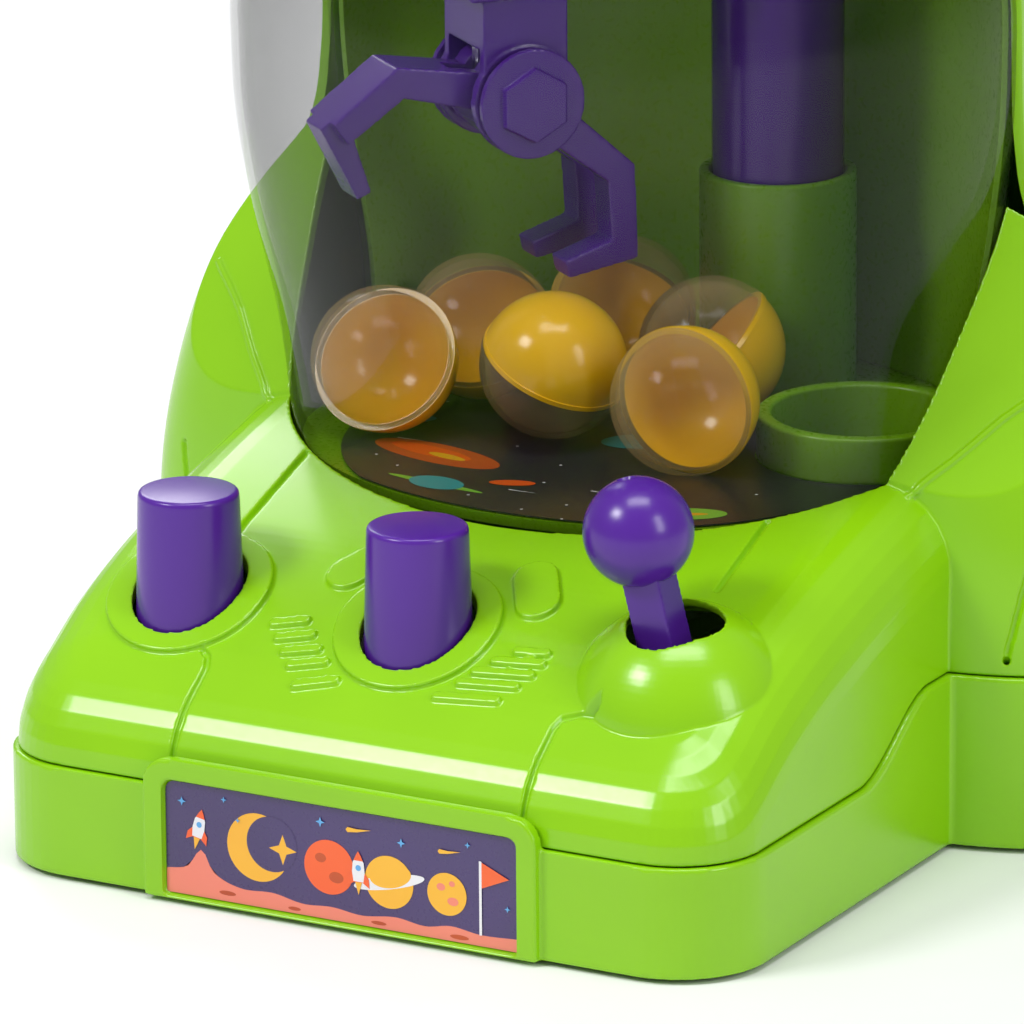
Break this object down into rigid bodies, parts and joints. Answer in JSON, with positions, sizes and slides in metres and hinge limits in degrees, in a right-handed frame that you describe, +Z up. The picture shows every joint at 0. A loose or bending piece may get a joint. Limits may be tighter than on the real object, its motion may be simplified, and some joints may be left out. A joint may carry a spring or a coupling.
{
  "type": "toy claw crane machine",
  "caption": "Tabletop toy claw crane with a clear dome, swinging and lifting claw arm, sloping console with joystick and plungers, and a prize chute.",
  "frame": {"origin": "on the table, under the middle of the bounding box", "axes": "+Z up, -Y towards the player at the console, +X towards the joystick side"},
  "size_m": [0.238, 0.224, 0.2633],
  "materials": {
    "green_plastic": "glossy lime green moulding",
    "purple_plastic": "glossy violet moulding",
    "yellow_plastic": "glossy opaque yellow capsule half",
    "clear_plastic": "clear amber capsule half",
    "smoke_plastic": "smoky clear moulding",
    "bright_steel": "bright wire and pins",
    "white_plastic": "natural acetal mechanism parts",
    "black_rubber": "matt black",
    "floor_print": "printed dark space scene, no lettering",
    "front_print": null
  },
  "bodies": {
    "housing": {"base_tray": "green_plastic", "control_deck": "green_plastic", "back_shell": "green_plastic", "clear_dome": "smoke_plastic", "lid_hinge_pin": "bright_steel", "playfield_floor": "green_plastic", "floor_decal": "floor_print", "play_area_liner": "green_plastic", "chute_ring": "green_plastic", "mast_socket": "green_plastic", "chute_ramp": "green_plastic", "prize_door_pin": "bright_steel", "left_plunger_guide": "white_plastic", "left_return_spring": "bright_steel", "centre_plunger_guide": "white_plastic", "centre_return_spring": "bright_steel", "joystick_bracket": "white_plastic", "joystick_axle": "bright_steel", "gear_bridge": "white_plastic", "rocker_axle": "bright_steel", "front_sticker": "front_print", "capsule_1_clear_half": "clear_plastic", "capsule_1_yellow_half": "yellow_plastic", "capsule_2_clear_half": "clear_plastic", "capsule_2_yellow_half": "yellow_plastic", "capsule_3_clear_half": "clear_plastic", "capsule_3_yellow_half": "yellow_plastic", "capsule_4_clear_half": "clear_plastic", "capsule_4_yellow_half": "yellow_plastic", "capsule_5_clear_half": "clear_plastic", "capsule_5_yellow_half": "yellow_plastic", "capsule_6_clear_half": "clear_plastic", "capsule_6_yellow_half": "yellow_plastic", "rubber_foot_1": "black_rubber", "rubber_foot_2": "black_rubber", "rubber_foot_3": "black_rubber", "rubber_foot_4": "black_rubber"},
    "left_plunger": {"left_plunger": "purple_plastic"},
    "centre_plunger": {"centre_plunger": "purple_plastic"},
    "lift_rocker": {"lift_rocker": "white_plastic"},
    "jaw_rocker": {"jaw_rocker": "white_plastic"},
    "joystick": {"joystick_stem": "purple_plastic", "joystick_knob": "purple_plastic"},
    "steering_rack": {"steering_rack": "white_plastic"},
    "turntable": {"turntable_gear": "white_plastic"},
    "mast": {"mast_spindle": "purple_plastic", "mast_tube": "purple_plastic", "boom": "purple_plastic", "boom_lever_pin": "bright_steel", "claw_head": "purple_plastic", "claw_pin": "bright_steel", "hub_cap_near": "purple_plastic", "hub_cap_far": "purple_plastic"},
    "jaw_push_rod": {"jaw_push_rod": "bright_steel"},
    "boom_lever": {"boom_lever": "white_plastic"},
    "jaw_drop_rod": {"jaw_drop_rod": "bright_steel"},
    "moving_jaw": {"moving_jaw": "purple_plastic"},
    "filler_lid": {"filler_lid": "green_plastic"},
    "prize_door": {"prize_door": "green_plastic"}
  },
  "joints": [
    {"name": "left_press", "type": "slide", "parent": "housing", "child": "left_plunger", "axis": [0, 0, -1], "range_m": [0, 0.01], "stiffness_N_per_m": 150, "springref_m": -0.006, "deforming": ["left_return_spring"]},
    {"name": "centre_press", "type": "slide", "parent": "housing", "child": "centre_plunger", "axis": [0, 0, -1], "range_m": [0, 0.009], "stiffness_N_per_m": 150, "springref_m": -0.006, "deforming": ["centre_return_spring"]},
    {"name": "joystick_tilt", "type": "hinge", "parent": "housing", "child": "joystick", "pos_m": [0.0585, -0.074, 0.051], "axis": [0, 1, 0], "range_deg": [0, 28.8]},
    {"name": "filler_lid_swing", "type": "hinge", "parent": "housing", "child": "filler_lid", "pos_m": [0, 0.0575, 0.258], "axis": [-1, 0, 0], "range_deg": [0, 100]},
    {"name": "prize_door_swing", "type": "hinge", "parent": "housing", "child": "prize_door", "pos_m": [0.1133, 0.0315, 0.042], "axis": [0, -1, 0], "range_deg": [0, 75]},
    {"name": "lift_rock", "type": "hinge", "parent": "housing", "child": "lift_rocker", "pos_m": [-0.03, -0.0172, 0.028], "axis": [1, 0, 0], "range_deg": [0, 9.6]},
    {"name": "jaw_rock", "type": "hinge", "parent": "housing", "child": "jaw_rocker", "pos_m": [0.004, -0.0172, 0.028], "axis": [1, 0, 0], "range_deg": [0, 8.7]},
    {"name": "rack_slide", "type": "slide", "parent": "housing", "child": "steering_rack", "axis": [-1, 0, 0], "range_m": [0, 0.021]},
    {"name": "mast_swing", "type": "hinge", "parent": "housing", "child": "turntable", "pos_m": [0.0065, 0.0725, 0.008], "axis": [0, 0, 1], "range_deg": [0, 70.1]},
    {"name": "mast_lift", "type": "slide", "parent": "turntable", "child": "mast", "axis": [0, 0, 1], "range_m": [0, 0.01501]},
    {"name": "jaw_rod_lift", "type": "slide", "parent": "mast", "child": "jaw_push_rod", "axis": [0, 0, 1], "range_m": [0, 0.01133]},
    {"name": "boom_lever_rock", "type": "hinge", "parent": "mast", "child": "boom_lever", "pos_m": [-0.02337, 0.03357, 0.176], "axis": [0.7934, -0.6088, 0], "range_deg": [0, 16.5]},
    {"name": "drop_rod_slide", "type": "slide", "parent": "mast", "child": "jaw_drop_rod", "axis": [0, 0, -1], "range_m": [0, 0.00615]},
    {"name": "jaw_close", "type": "hinge", "parent": "mast", "child": "moving_jaw", "pos_m": [-0.03277, 0.02133, 0.145], "axis": [0.7934, -0.6088, 0], "range_deg": [0, 52.1]}
  ],
  "couplings": [
    {"joint": "lift_rock", "follows": "left_press", "rad_per_m": 16.68},
    {"joint": "mast_lift", "follows": "left_press", "ratio": 1.5},
    {"joint": "jaw_rock", "follows": "centre_press", "rad_per_m": 16.69},
    {"joint": "jaw_rod_lift", "follows": "centre_press", "ratio": 1.2575},
    {"joint": "boom_lever_rock", "follows": "centre_press", "rad_per_m": 31.82},
    {"joint": "drop_rod_slide", "follows": "centre_press", "ratio": 0.68191},
    {"joint": "jaw_close", "follows": "centre_press", "rad_per_m": 100.84},
    {"joint": "rack_slide", "follows": "joystick_tilt", "m_per_rad": 0.041559},
    {"joint": "mast_swing", "follows": "joystick_tilt", "ratio": 2.4306}
  ]
}
